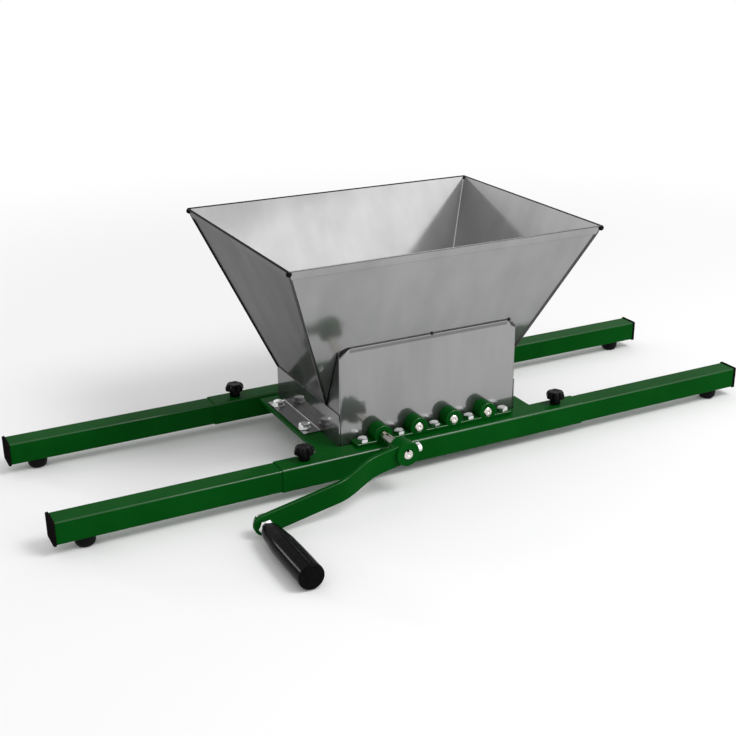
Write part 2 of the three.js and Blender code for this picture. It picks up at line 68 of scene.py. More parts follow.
# Rails, end caps, feet and knobs; the foot's profile is in shares of its radius and height
ARM_CORNER = 2.4
ARM_WALL = 1.5
SLEEVE_WALL = 1.0
EDGE = 0.3
BAR_CORNER = 1.0
CAP_GAP = 0.3
FOOT_PROFILE = (
    (0.64, 0.0), (0.7, 0.02), (0.82, 0.1), (0.91, 0.22), (0.965, 0.38),
    (0.995, 0.58), (1.0, 0.75), (1.0, 0.94), (0.98, 0.985), (0.94, 1.0),
)
KNOB_GAP = 0.3
KNOB_LOBES = 6
KNOB_LOBE_DEPTH = 3.4
KNOB_STUD_RADIUS = 4.0
KNOB_STEM_RADIUS = 7.2
KNOB_STEM_HEIGHT = 8.0

# Hopper: half width and height of the mouth and throat, then front and back walls at mouth and throat
HOPPER_RIM = (216.3, 298.0)
HOPPER_THROAT = (129.4, 84.1)
HOPPER_FRONT = (-155.4, -59.6)
HOPPER_BACK = (179.4, 93.5)
HOPPER_CORNER = 2.6
SHEET = 1.2
HEM_HEIGHT = 12.0
HEM_STEP = 1.0
LIP_END = 46.0
SEAM_ROOT = 1.2
SEAM_REACH = 2.5
BACK_SEAM_THICKNESS = 1.7
FRONT_SEAM_THICKNESS = 2.3
RIM_NUB = 3.6
FRONT_NUB_PROUD = -0.6

# Front cover and side panels; the band of painted shade below the cover's top edge is its lower and upper height
# and half its width
COVER_BEND = 2.2
COVER_CORNER_RUN = 14.5
COVER_CORNER_DROP = 8.5
COVER_LEAN = 0.6
COVER_LEAN_HEIGHT = 4.6
COVER_SHADE_BAND = (164.2, 165.4, 114.9)
COVER_JOINT = 1.0
PANEL_BEND = 1.4
FLANGE_MARGIN = 8.65

# Bearing strips and fasteners, with the turn of the bolts' heads in radians
STRIP_TOP = 48.3
STRIP_END_CORNER = 0.8
BOSS_RADIUS = 12.8
SHAFT_BORE = 6.3
HEX_SMALL = 13.0
HEX_SMALL_HEIGHT = 4.6
HEX_SMALL_RISE = 1.2
HEX_LAND = 0.76
BOLT_RADIUS = 4.0
BOLT_TURN = -0.49
BOLT_TURN_STEP = 0.07
WASHER_RADIUS = 8.4
WASHER_THICKNESS = 1.5

# Shafts, crank and grip, with the crank's and keyway's angles in degrees
SHAFT_JOINTS = ("crank_turn", "second_roller_turn", "third_roller_turn", "fourth_roller_turn")
LONG_SHAFT_CHAMFER = 0.6
SHORT_SHAFT_CHAMFER = 1.3
CENTRE_HOLE_RADIUS = 1.7
KEYWAY_ANGLE = 100.0
KEYWAY_DEPTH = 2.2
KEYWAY_HALF_WIDTH = 1.7
CRANK_ANGLE = 10.95
CRANK_LENGTH = 201.2
CRANK_THICKNESS = 6.0
CRANK_HALF_WIDTH = 12.9
CRANK_OFFSET = 22.6
CRANK_BEND = (36.0, 106.0)
HUB_RADIUS = 15.5
HUB_PROUD = 4.6
SET_SCREW_SEAT = 15.8
SET_SCREW_LENGTH = 9.5
SET_SCREW_HEX = 10.5
SET_SCREW_TURN = 0.15
PIN_RADIUS = 5.0
PIN_HEAD = 8.0
PIN_HEX = 19.0
NUT_HEX = 17.0
NUT_TURN = math.radians(24)
GRIP_BORE = 5.3
GRIP_END_HEIGHT = 3.0
GRIP_END_ROUNDING = 1.65

# Floor and world: the floor's tone as seen and as it lights the object, and where it fades to white
FLOOR_SIZE = 60
FLOOR_SEEN = 0.93
FLOOR_BOUNCE = 0.72
FLOOR_FADE = (0.75, 1.9)
FLOOR_MIRRORED = 0.5
WORLD_LEVEL = 0.7


def box(*names):
    """Lowest corner, highest corner and centre of the frame's nodes, in millimetres."""
    lows, highs = zip(*(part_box(name) for name in names))
    low = Vector([min(v[i] for v in lows) for i in range(3)]) / MM
    high = Vector([max(v[i] for v in highs) for i in range(3)]) / MM
    return low, high, (low + high) / 2


joint_places = {j["name"]: Vector(j["pos_m"]) / MM for j in frame["joints"] if "pos_m" in j}
body_of_node = {
    node: body
    for body, nodes in frame["record"]["behaviour"]["bodies"].items()
    for node in nodes
}
slot_of_node = {s["node"]: s["material_slot"] for s in frame["record"]["subparts"]}
FRAME_SHIFT = box("hopper")[2].y - (HOPPER_FRONT[0] + HOPPER_BACK[0]) / 2


# Materials

def new_material(name):
    material = bpy.data.materials.new(name)
    material.use_nodes = True
    tree = material.node_tree
    return material, tree, tree.nodes["Principled BSDF"]


def feed(tree, target, values):
    """Links a node's inputs to other nodes, or sets their plain values."""
    for key, value in values.items():
        if isinstance(value, bpy.types.NodeSocket):
            tree.links.new(value, target.inputs[key])
        else:
            target.inputs[key].default_value = value


def node(tree, kind, inputs=None, **settings):
    made = tree.nodes.new(kind)
    for key, value in settings.items():
        setattr(made, key, value)
    feed(tree, made, inputs or {})
    return made


def arithmetic(tree, operation, first, second=0.5):
    return node(tree, "ShaderNodeMath", {0: first, 1: second}, operation=operation).outputs[0]


def coordinates(tree, stretch=(1, 1, 1)):
    source = node(tree, "ShaderNodeTexCoord")
    mapping = node(tree, "ShaderNodeMapping", {"Vector": source.outputs["Object"], "Scale": stretch})
    return mapping.outputs["Vector"]


def noise(tree, vector, scale, detail=3.0):
    inputs = {"Vector": vector, "Scale": scale, "Detail": detail, "Roughness": 0.55}
    return node(tree, "ShaderNodeTexNoise", inputs).outputs["Fac"]


def ramp(tree, factor, stops):
    made = node(tree, "ShaderNodeValToRGB", {"Fac": factor})
    for element, (place, colour) in zip(made.color_ramp.elements, stops):
        element.position = place
        element.color = (*colour, 1)
    return made.outputs["Color"]


def spread(tree, factor, low, high, start=0.3, end=0.7):
    inputs = {"Value": factor, "From Min": start, "From Max": end, "To Min": low, "To Max": high}
    return node(tree, "ShaderNodeMapRange", inputs).outputs["Result"]


def bump(tree, height, strength, distance, below=None):
    inputs = {"Height": height, "Strength": strength, "Distance": distance}
    if below:
        inputs["Normal"] = below
    return node(tree, "ShaderNodeBump", inputs).outputs["Normal"]


def mixed(tree, factor, first, second):
    """One colour, or another to the extent of a factor."""
    inputs = {0: factor, 6: first, 7: second}
    return node(tree, "ShaderNodeMix", inputs, data_type="RGBA").outputs[2]


def mixed_shader(tree, factor, first, second):
    """Puts a mix of two shaders on the surface."""
    inputs = {"Fac": factor, 1: first.outputs[0], 2: second.outputs[0]}
    joined = node(tree, "ShaderNodeMixShader", inputs)
    feed(tree, tree.nodes["Material Output"], {"Surface": joined.outputs[0]})


def painted_edge_highlight(tree):
    """Painted highlight and shade: glossy on rounded edges between a top and a front, which face the key lamp, and
    dull on the flat faces.
    """
    facing_way = node(tree, "ShaderNodeTexCoord").outputs["Normal"]
    parts = node(tree, "ShaderNodeSeparateXYZ", {"Vector": facing_way}).outputs
    both = arithmetic(tree, "MULTIPLY", parts["Y"], parts["Z"])
    return spread(tree, both, 0.5, 0.015, -0.42, -0.2)


def green_paint():
    """Dark green paint with faint clouds, a fine peel and a painted highlight on its top front edges."""
    material, tree, shader = new_material("green_paint_look")
    place = coordinates(tree)
    stops = [(0.3, (0.0012, 0.058, 0.005)), (0.7, (0.002, 0.073, 0.007))]
    looks = {
        "Base Color": ramp(tree, noise(tree, place, 14), stops),
        "Roughness": spread(tree, noise(tree, place, 60), 0.11, 0.19),
        "Normal": bump(tree, noise(tree, place, 420, 2), 0.25, 0.0002),
        # Specular level by facing direction paints highlights on top front edges
        "Specular IOR Level": painted_edge_highlight(tree),
    }
    feed(tree, shader, looks)
    return material


def painted_shade_band(tree, place, colour, band):
    """A colour with painted shade, darker between two heights, up to a distance from the middle."""
    low, high, half = (v * MM for v in band)
    parts = node(tree, "ShaderNodeSeparateXYZ", {"Vector": place}).outputs
    side = arithmetic(tree, "ABSOLUTE", parts["X"])
    tint = spread(tree, parts["Z"], 0.0, 0.6, low, high)
    inside = spread(tree, side, 1.0, 0.0, half, half + MM)
    return mixed(tree, arithmetic(tree, "MULTIPLY", tint, inside), colour, (0.09, 0.09, 0.095, 1))


def stainless(name, tone=1.0, softness=0.34, band=None):
    """Smooth sheet, a little wavy, with faint upright clouds; a band below a top edge can be darkened with painted
    shade.
    """
    material, tree, shader = new_material(name)
    place = coordinates(tree)
    upright = noise(tree, coordinates(tree, (22, 22, 4)), 1.0)
    dark = tuple(tone * v for v in (0.34, 0.339, 0.342))
    light = tuple(tone * v for v in (0.39, 0.389, 0.393))
    colour = ramp(tree, upright, [(0.35, dark), (0.65, light)])
    if band:
        colour = painted_shade_band(tree, place, colour, band)
    clouds = noise(tree, place, 30, 4)
    waves = bump(tree, noise(tree, place, 6, 1), 0.1, 0.003)
    surface = bump(tree, noise(tree, place, 1400, 2), 0.05, 0.00005, waves)
    soft = node(tree, "ShaderNodeBsdfPrincipled")
    for part, low, high in ((shader, 0.09, 0.13), (soft, 0.42, 0.5)):
        looks = {
            "Base Color": colour,
            "Roughness": spread(tree, clouds, low, high),
            "Normal": surface,
            "Metallic": 1,
            "Specular Tint": (0.3, 0.3, 0.3, 1),
        }
        feed(tree, part, looks)
    mixed_shader(tree, softness, shader, soft)
    return material


def metal(name, base, rough, grain_scale, depth):
    """Fine grained metal with slightly darker clouds."""
    material, tree, shader = new_material(name)
    place = coordinates(tree)
    grain = noise(tree, place, grain_scale, 4)
    cloud = noise(tree, place, grain_scale / 6)
    dark = tuple(v * 0.82 for v in base)
    looks = {
        "Base Color": ramp(tree, cloud, [(0.3, dark), (0.65, base)]),
        "Roughness": spread(tree, grain, rough * 0.8, rough * 1.25),
        "Normal": bump(tree, grain, 0.2, depth),
        "Metallic": 1,
    }
    feed(tree, shader, looks)
    return material


def black(name, base, rough, grain_scale, depth, specular):
    """Grained black plastic or rubber."""
    material, tree, shader = new_material(name)
    grain = noise(tree, coordinates(tree), grain_scale)
    light = tuple(v * 1.5 + 0.002 for v in base)
    looks = {
        "Base Color": ramp(tree, grain, [(0.35, base), (0.7, light)]),
        "Roughness": spread(tree, grain, rough * 0.85, rough * 1.2),
        "Normal": bump(tree, grain, 0.2, depth),
        "Specular IOR Level": specular,
    }
    feed(tree, shader, looks)
    return material


LOOKS = {
    "green_paint": green_paint(),
    "stainless_sheet": stainless("stainless_look"),
    "shaft_steel": metal("ground_steel_look", (0.72, 0.69, 0.64), 0.2, 900, 0.00005),
    "gear_steel": metal("machined_steel_look", (0.34, 0.34, 0.35), 0.36, 600, 0.0001),
    "zinc_plate": metal("zinc_look", (0.75, 0.76, 0.75), 0.14, 500, 0.0002),
    "roller_metal": metal("cast_aluminium_look", (0.55, 0.55, 0.56), 0.42, 350, 0.0002),
    "black_plastic": black("glossy_black_look", (0.0018, 0.0018, 0.002), 0.2, 260, 0.0001, 0.035),
    "black_rubber": black("rubber_look", (0.0045, 0.0045, 0.005), 0.55, 700, 0.0002, 0.04),
}
KNOB_LOOK = black("knob_look", (0.0025, 0.0025, 0.003), 0.22, 500, 0.0002, 0.05)
# Black look that paints shade on the hopper's back seams, rim corners and left and back rim
RIM_SHADE_LOOK = black("painted_shade_rim_look", (0.006, 0.006, 0.006), 0.45, 600, 0.0001, 0.03)
CAP_LOOK = black("cap_look", (0.006, 0.0045, 0.005), 0.4, 420, 0.0002, 0.0)
# The cover gets a band of painted shade below its top edge, where it meets the hopper
COVER_LOOK = stainless("cover_look", 0.9, band=COVER_SHADE_BAND)
PANEL_LOOK = stainless("panel_look", 1.0, 0.16)
# Dark weld look, also used as painted shade on the cover's top joint and the hopper's right rim
WELD_AND_SHADE_LOOK = metal("dark_weld_and_painted_shade_look", (0.022, 0.022, 0.022), 0.3, 900, 0.0001)
# Dark grey look that paints shade on the hopper's front seams and front rim
FOLD_SHADE_LOOK = metal("folded_edge_painted_shade_look", (0.1, 0.1, 0.101), 0.32, 900, 0.0001)


# Mesh tools: nearly every shape is a skin over loops of equally many points

def new_thing(work, name):
    """An object in the scene from a mesh that was being edited."""
    mesh = bpy.data.meshes.new(name)
    work.to_mesh(mesh)
    work.free()
    thing = bpy.data.objects.new(name, mesh)
    bpy.context.scene.collection.objects.link(thing)
    return thing


def skin(loops, wrap=False):
    """A mesh over successive loops; the first and last are capped, or joined if wrap is set."""
    work = bmesh.new()
    rows = [[work.verts.new(Vector(p) * MM) for p in loop] for loop in loops]
    count = len(rows[0])
    pairs = list(zip(rows, rows[1:]))
    if wrap:
        pairs.append((rows[-1], rows[0]))
    for first, second in pairs:
        for i in range(count):
            j = (i + 1) % count
            work.faces.new((first[i], first[j], second[j], second[i]))
    if not wrap:
        work.faces.new(rows[0][::-1])
        work.faces.new(rows[-1])
    bmesh.ops.remove_doubles(work, verts=work.verts, dist=1e-7)
    bmesh.ops.dissolve_degenerate(work, edges=work.edges, dist=1e-7)
    bmesh.ops.recalc_face_normals(work, faces=work.faces)
    return new_thing(work, "skin")


def turned(profile, place=Matrix(), sides=64, wrap=False):
    """A turned shape about its own Z from (radius, height) points, or functions of the angle."""
    loops = []
    for radius, height in profile:
        loop = []
        for i in range(sides):
            angle = 2 * math.pi * i / sides
            r = radius(angle) if callable(radius) else radius
            h = height(angle) if callable(height) else height
            loop.append(place @ Vector((r * math.cos(angle), r * math.sin(angle), h)))
        loops.append(loop)
    return skin(loops, wrap)


def block(low, high):
    """A plain block between two corners, to cut with."""
    (x0, y0, z0), (x1, y1, z1) = low, high
    return skin([[(x0, y, z1), (x1, y, z1), (x1, y, z0), (x0, y, z0)] for y in (y0, y1)])


def combine(base, tool, operation):
    """Joins or cuts two shapes, and deletes the second one."""
    modifier = base.modifiers.new("combine", "BOOLEAN")
    modifier.operation = operation
    modifier.solver = "EXACT"
    modifier.object = tool
    graph = bpy.context.evaluated_depsgraph_get()
    mesh = bpy.data.meshes.new_from_object(base.evaluated_get(graph))
    base.modifiers.clear()
    old = base.data
    base.data = mesh
    bpy.data.meshes.remove(old)
    bpy.data.objects.remove(tool)
    return base


def name_and_shade(thing, name, look, smooth):
    thing.name = name
    thing.data.name = name
    thing.data.materials.clear()
    thing.data.materials.append(look)
    thing.data.shade_smooth()
    thing.data.set_sharp_from_angle(angle=math.radians(smooth))


def finish_piece(thing, name, replaced, smooth=38, look=None):
    """Names and shades a piece, and lets it ride in place of its node."""
    slot = slot_of_node[replaced]
    name_and_shade(thing, name, look or LOOKS[slot], smooth)
    weighted = thing.modifiers.new("normals", "WEIGHTED_NORMAL")
    weighted.keep_sharp = True
    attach(thing, body_of_node[replaced])
    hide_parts(replaced)


def trim(thing, name, look):
    """A small piece of the fixed frame that stands for no node."""
    name_and_shade(thing, name, look, 40)
    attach(thing, "frame")


def bead(path, name, look, sides=8):
    """A round bead of varying radius along points (x, y, z, radius)."""
    points = [Vector(p[:3]) for p in path]
    loops = []
    for i, (centre, (*_, radius)) in enumerate(zip(points, path)):
        along = (points[min(i + 1, len(points) - 1)] - points[max(i - 1, 0)]).normalized()
        across = along.cross(Vector((0, -1, 0.3))).normalized()
        up = across.cross(along)
        angles = (2 * math.pi * j / sides for j in range(sides))
        loops.append([centre + (across * math.cos(a) + up * math.sin(a)) * radius for a in angles])
    trim(skin(loops), name, look)


def quarter(steps):
    """Angles from nothing to a right angle."""
    return [i / steps * math.pi / 2 for i in range(steps + 1)]


def rounded_rectangle(half_u, half_v, corner, steps=5):
    """Points (u, v) round a rectangle with rounded corners."""
    points = []
    for number, (sign_u, sign_v) in enumerate(((1, 1), (-1, 1), (-1, -1), (1, -1))):
        for i in range(steps + 1):
            angle = (number + i / steps) * math.pi / 2
            u = sign_u * (half_u - corner) + corner * math.cos(angle)
            v = sign_v * (half_v - corner) + corner * math.sin(angle)
            points.append((u, v))
    return points


def along_y(points, y, x, z):
    return [(x + u, y, z + v) for u, v in points]


def square_loop(x, y, z, size, corner):
    return [(x, y + u, z + v) for u, v in rounded_rectangle(size / 2, size / 2, corner)]


def facing(axis, origin):
    """Turns +Z to an axis and moves the start to an origin."""
    turn = Vector((0, 0, 1)).rotation_difference(Vector(axis)).to_matrix().to_4x4()
    return Matrix.Translation(Vector(origin)) @ turn


# Rails

def rails():
    for side in ("front", "back"):
        square_tube(side + "_sleeve", ARM_CORNER + SLEEVE_WALL, SLEEVE_WALL)
        for end, sign in (("left", -1), ("right", 1)):
            corner = f"{side}_{end}"
            square_tube(corner + "_arm", ARM_CORNER, ARM_WALL)
            end_cap(corner, sign)
            foot(corner)
            knob(corner, side)


def square_tube(name, corner, wall):
    """An open square tube whose ends have broken edges."""
    low, high, centre = box(name)
    start, end, size = low.x, high.x, high.y - low.y
    inner = (size - 2 * wall, max(corner - wall, 0.6))
    broken = (size - 2 * EDGE, corner - EDGE)
    rows = [(start + EDGE, size, corner), (end - EDGE, size, corner), (end, *broken), (end, *inner)]
    rows += [(start, *inner), (start, *broken)]
    loops = [square_loop(x, centre.y, centre.z, width, round_) for x, width, round_ in rows]
    finish_piece(skin(loops, wrap=True), name + "_tube", name)


def end_cap(corner, sign):
    """A plug in the tube's end under a plate with a thin lip."""
    low, high, centre = box(corner + "_end_cap")
    arm_low, arm_high, _ = box(corner + "_arm")
    size = high.y - low.y
    outer, inner, tube_end = (high.x, low.x, arm_high.x) if sign > 0 else (low.x, high.x, arm_low.x)
    plate = abs(outer - tube_end) - CAP_GAP
    plug = arm_high.y - arm_low.y - 2 * ARM_WALL - 2 * CAP_GAP
    steps = [
        (inner, plug - 1.2, 0.8),
        (inner + sign * 1.5, plug, 1.0),
        (outer - sign * plate, plug, 1.0),
        (outer - sign * plate, size - 0.5, ARM_CORNER - 0.25),
        (outer - sign * (plate - 0.35), size, ARM_CORNER),
        (outer - sign * 1.1, size, ARM_CORNER),
        (outer - sign * 0.5, size - 0.5, ARM_CORNER - 0.2),
        (outer - sign * 0.12, size - 1.6, ARM_CORNER - 0.4),
        (outer, size - 3.4, ARM_CORNER - 0.6),
    ]
    loops = [square_loop(x, centre.y, centre.z, s, c) for x, s, c in steps]
    finish_piece(skin(loops), corner + "_cap_plug", corner + "_end_cap", look=CAP_LOOK)


def foot(corner):
    low, high, centre = box(corner + "_foot")
    radius = (high.x - low.x) / 2
    height = high.z - low.z
    profile = [(radius * r, height * h) for r, h in FOOT_PROFILE]
    profile = [(TINY, 0.0)] + profile + [(TINY, height)]
    shape = turned(profile, Matrix.Translation((centre.x, centre.y, low.z)))
    finish_piece(shape, corner + "_foot_pad", corner + "_foot")


def knob(corner, side):
    """A lobed head on a round stem, with the stud's end below it."""
    low, high, centre = box(corner + "_knob")
    base = box(side + "_sleeve")[1].z + KNOB_GAP
    stem_top = base + KNOB_STEM_HEIGHT
    top = high.z
    radius = (high.x - low.x) / 2

    def lobed(scale, depth=1.0):
        def at(angle):
            crest = abs(math.cos(KNOB_LOBES / 2 * angle)) ** 0.8
            return radius * scale - depth * KNOB_LOBE_DEPTH * (1 - crest)
        return at

    profile = [
        (KNOB_STUD_RADIUS, low.z),
        (KNOB_STUD_RADIUS, base),
        (KNOB_STEM_RADIUS - 0.6, base),
        (KNOB_STEM_RADIUS - 0.1, base + 0.5),
        (KNOB_STEM_RADIUS, stem_top - 1.2),
        (KNOB_STEM_RADIUS + 0.2, stem_top - 0.4),
        (KNOB_STEM_RADIUS + 1.0, stem_top),
        (lobed(0.88, 0.7), stem_top + 0.15),
        (lobed(0.965, 0.95), stem_top + 0.7),
        (lobed(1.0), stem_top + 1.7),
        (lobed(1.0), top - 5.0),
        (lobed(0.99), top - 4.2),
        (lobed(0.96, 0.95), top - 3.3),
        (lobed(0.9, 0.85), top - 2.1),
        (lobed(0.83, 0.75), top - 1.0),
        (lobed(0.77, 0.6), top - 0.35),
        (lobed(0.7, 0.4), top - 0.05),
        (lobed(0.62, 0.2), top),
        (4.8, top),
        (4.4, top - 0.5),
        (TINY, top - 0.6),
    ]
    shape = turned(profile, Matrix.Translation((centre.x, centre.y, 0)), 96)
    finish_piece(shape, corner + "_knob_head", corner + "_knob", smooth=46, look=KNOB_LOOK)


def crossbars():
    for end in ("left", "right"):
        low, high, centre = box(end + "_crossbar")
        section = rounded_rectangle((high.x - low.x) / 2, (high.z - low.z) / 2, BAR_CORNER, 3)
        loops = [along_y(section, y, centre.x, centre.z) for y in (low.y, high.y)]
        finish_piece(skin(loops), end + "_crossbar_plate", end + "_crossbar")


# Hopper, cover and panels

def hopper_section(z, offset=0.0):
    """Half width, middle and half depth of the hopper's outline at a height, moved out by an offset."""
    t = (z - HOPPER_THROAT[1]) / (HOPPER_RIM[1] - HOPPER_THROAT[1])
    half_x = HOPPER_THROAT[0] + t * (HOPPER_RIM[0] - HOPPER_THROAT[0]) + offset
    front = HOPPER_FRONT[1] + t * (HOPPER_FRONT[0] - HOPPER_FRONT[1]) - offset
    back = HOPPER_BACK[1] + t * (HOPPER_BACK[0] - HOPPER_BACK[1]) + offset
    return half_x, (front + back) / 2 + FRAME_SHIFT, (back - front) / 2


def hopper_loop(z, offset, corner=HOPPER_CORNER):
    half_x, middle, half_y = hopper_section(z, offset)
    return [(u, middle + v, z) for u, v in rounded_rectangle(half_x, half_y, corner, 4)]


def hopper():
    """Four sheet walls with a hem round the mouth; the side walls reach down beside the rollers."""
    rim = HOPPER_RIM[1]
    hem = rim - HEM_HEIGHT
    throat = HOPPER_THROAT[1]
    inside = HOPPER_CORNER - SHEET
    loops = [
        hopper_loop(throat, 0),
        hopper_loop(hem, 0),
        hopper_loop(hem - 0.1, HEM_STEP * 1.4),
        hopper_loop(hem + 0.5, HEM_STEP * 1.7),
        hopper_loop(rim - 2.4, HEM_STEP * 0.9),
        hopper_loop(rim - 1.5, HEM_STEP * 0.5),
        hopper_loop(rim - 1.2, HEM_STEP * 0.1),
        hopper_loop(rim - 1.2, -SHEET * 0.6, inside + 0.4),
        hopper_loop(rim - 1.5, -SHEET * 0.95, inside),
        hopper_loop(throat, -SHEET, inside),
    ]
    shell = skin(loops, wrap=True)
    for sign in (-1, 1):
        lip = skin([lip_loop(sign, throat - 0.2), lip_loop(sign, LIP_END)])
        shell = combine(shell, lip, "UNION")
    finish_piece(shell, "hopper_shell", "hopper", smooth=30)
    corner_seams()
    rim_edges()


def lip_loop(sign, z):
    """Cross-section of a side wall's lower end, beside the rollers."""
    half_x, middle, half_y = hopper_section(z)
    reach = half_y - HOPPER_CORNER
    outer = sign * half_x
    inner = sign * (half_x - SHEET)
    corners = ((outer, -reach), (outer, reach), (inner, reach), (inner, -reach))
    return [(x, middle + y, z) for x, y in corners]


def corner_seams():
    """The seams where the hopper's walls meet, standing out diagonally, and the rim's corners, dark with painted
    shade: black at the back and dark grey at the front.
    """
    sides = (("front", -1, FOLD_SHADE_LOOK, FRONT_SEAM_THICKNESS), ("back", 1, RIM_SHADE_LOOK, BACK_SEAM_THICKNESS))
    for side, sign_y, look, thickness in sides:
        for end, sign_x in (("left", -1), ("right", 1)):
            trim(corner_seam(sign_x, sign_y, thickness), f"hopper_{side}_{end}_seam", look)
            trim(rim_nub(sign_x, sign_y), f"hopper_{side}_{end}_nub", RIM_SHADE_LOOK)


def corner_seam(sign_x, sign_y, thickness):
    """A thin upright fin with a rounded edge, which gets lower where it passes under the rim."""
    out = Vector((sign_x, sign_y, 0)).normalized()
    across = Vector((-sign_y, sign_x, 0)).normalized() * thickness / 2
    rim = HOPPER_RIM[1]
    marks = [(HOPPER_THROAT[1] + 0.4, SEAM_REACH), (rim - HEM_HEIGHT, SEAM_REACH)]
    marks += [(rim - 1.6, 1.1), (rim - 0.6, 1.0)]
    loops = []
    for z, reach in marks:
        half_x, middle, half_y = hopper_section(z)
        corner = Vector((sign_x * half_x, middle + sign_y * half_y, z))
        edge = [(-SEAM_ROOT, 1), (reach - 0.6, 1), (reach - 0.15, 0.7), (reach, 0.2)]
        section = [(-SEAM_ROOT, -1)] + edge + [(a, -b) for a, b in edge[:0:-1]]
        loops.append([corner + out * a + across * b for a, b in section])
    return skin(loops)


def rim_nub(sign_x, sign_y):
    """The rounded joint in a corner of the hopper's rim, black with painted shade."""
    proud = FRONT_NUB_PROUD if sign_y < 0 else HEM_STEP - RIM_NUB
    half_x, middle, half_y = hopper_section(HOPPER_RIM[1])
    centre = (sign_x * (half_x - 0.6), middle + sign_y * (half_y + proud), HOPPER_RIM[1] - RIM_NUB)
    rings = [(TINY, -RIM_NUB)]
    for angle in (math.pi * (i / 8 - 0.5) for i in range(1, 8)):
        rings.append((RIM_NUB * math.cos(angle), RIM_NUB * math.sin(angle)))
    return turned(rings + [(TINY, RIM_NUB)], Matrix.Translation(centre), 24)


def rim_edges():
    """The rounded edges of the hopper's mouth, with painted shade: dark at the left and back, paler at the right
    and front.
    """
    half_x, middle, half_y = hopper_section(HOPPER_RIM[1])
    corners = [(-1, -1), (-1, 1), (1, 1), (1, -1)]
    sides = [
        ("left", 1.5, RIM_SHADE_LOOK),
        ("back", 1.0, RIM_SHADE_LOOK),
        ("right", 1.3, WELD_AND_SHADE_LOOK),
        ("front", 0.8, FOLD_SHADE_LOOK),
    ]
    for (side, radius, look), start, end in zip(sides, corners, corners[1:] + corners[:1]):
        out = HEM_STEP - radius
        path = [
            (x * (half_x + out), middle + y * (half_y + out), HOPPER_RIM[1] - radius, radius)
            for x, y in (start, end)
        ]
        bead(path, "hopper_rim_" + side, look)


def front_cover():
    """A sheet over the gears: its top corners are cut and its ends fold back to the hopper."""
    low, high, _ = box("front_cover")
    face, half, bottom, top = low.y, high.x, low.z, high.z
    slope = (HOPPER_RIM[1] - HOPPER_THROAT[1]) / (HOPPER_FRONT[1] - HOPPER_FRONT[0])
    hopper_foot = HOPPER_FRONT[1] + FRAME_SHIFT - 0.3
    straight = half - COVER_CORNER_RUN

    def corner_top(x):
        return top - COVER_CORNER_DROP * max(0.0, x - straight) / COVER_CORNER_RUN

    def fold_top(y):
        return min(HOPPER_THROAT[1] + max(0.0, hopper_foot - y) * slope, top - 1.0)

    def low_fold_top(y):
        return min(fold_top(y), top - COVER_CORNER_DROP - 0.4 * (y - face))

    def reach_back(y, z):
        return max(0.0, hopper_foot - (z - HOPPER_THROAT[1]) / slope - y)

    def half_cover(end_top):
        columns = [(0.0, face, top, COVER_LEAN), (straight, face, top, COVER_LEAN)]
        for i in range(1, 5):
            x = straight + (COVER_CORNER_RUN - COVER_BEND) * i / 4
            z = corner_top(x)
            columns.append((x, face, z, max(COVER_LEAN * (1 - i / 4), reach_back(face, z))))
        for i in range(1, 7):
            angle = i / 6 * math.pi / 2
            x = half - COVER_BEND + COVER_BEND * math.sin(angle)
            y = face + COVER_BEND * (1 - math.cos(angle))
            z = corner_top(x) + (end_top(y) - corner_top(x)) * (i / 6) ** 2
            columns.append((x, y, z, reach_back(y, z) * (1 - (i / 6) ** 2)))
        for y in (face + 4.6, face + 7, face + 12, face + 20, face + 28, high.y):
            columns.append((half, y, end_top(y), 0.0))
        return columns

    left = [(-x, y, height, back) for x, y, height, back in half_cover(fold_top)[:0:-1]]
    shell = sheet_from_columns(left + half_cover(low_fold_top), bottom)
    finish_piece(shell, "front_cover_sheet", "front_cover", smooth=30, look=COVER_LOOK)
    cover_joint(low, high, fold_top)


def sheet_from_columns(columns, bottom):
    """A sheet whose outer side passes through columns (x, y, top height, how far the top leans back)."""
    work = bmesh.new()
    rows = []
    for x, y, top, lean in columns:
        points = ((x, y, bottom), (x, y, top - COVER_LEAN_HEIGHT), (x, y + lean, top))
        rows.append([work.verts.new(Vector(point) * MM) for point in points])
    for first, second in zip(rows, rows[1:]):
        for i in range(2):
            work.faces.new((first[i], second[i], second[i + 1], first[i + 1]))
    thing = new_thing(work, "sheet")
    solid = thing.modifiers.new("thickness", "SOLIDIFY")
    solid.thickness = SHEET * MM
    solid.offset = -1
    solid.use_even_offset = True
    return thing


def cover_joint(low, high, fold_top):
    """The joint along the cover's top edge and left fold, a dark bead of painted shade in the gap against the
    hopper, with two small dark welds.
    """
    face, top, half = low.y, high.z, high.x
    straight = half - COVER_CORNER_RUN
    folds = ((high.y - 1, 0.8), (face + 12, 1.2), (face + 4.6, 1.5))
    path = [(-half - 0.1, y, fold_top(y) + 0.2, radius) for y, radius in folds]
    path += [
        (-half + 0.9, face + 3.0, top - COVER_CORNER_DROP + 0.6, 1.6),
        (-straight - 2, face + 1.6, top - 0.6, 1.6),
        (-straight + 2, face + 1.3, top + 0.3, COVER_JOINT),
        (straight + 4, face + 1.3, top + 0.2, COVER_JOINT),
    ]
    bead(path, "cover_top_joint_painted_shade", WELD_AND_SHADE_LOOK)
    rings = [(2.4, -1.0), (2.4, 0.4), (2.0, 1.2), (1.3, 1.8), (0.5, 2.1), (TINY, 2.1)]
    for number, x in enumerate((1.9, straight + 3.6), 1):
        place = facing((0, -1, 0), (x, face + 1.4, top + 0.3))
        trim(turned(rings, place, 24), f"cover_tack_weld_{number}", WELD_AND_SHADE_LOOK)


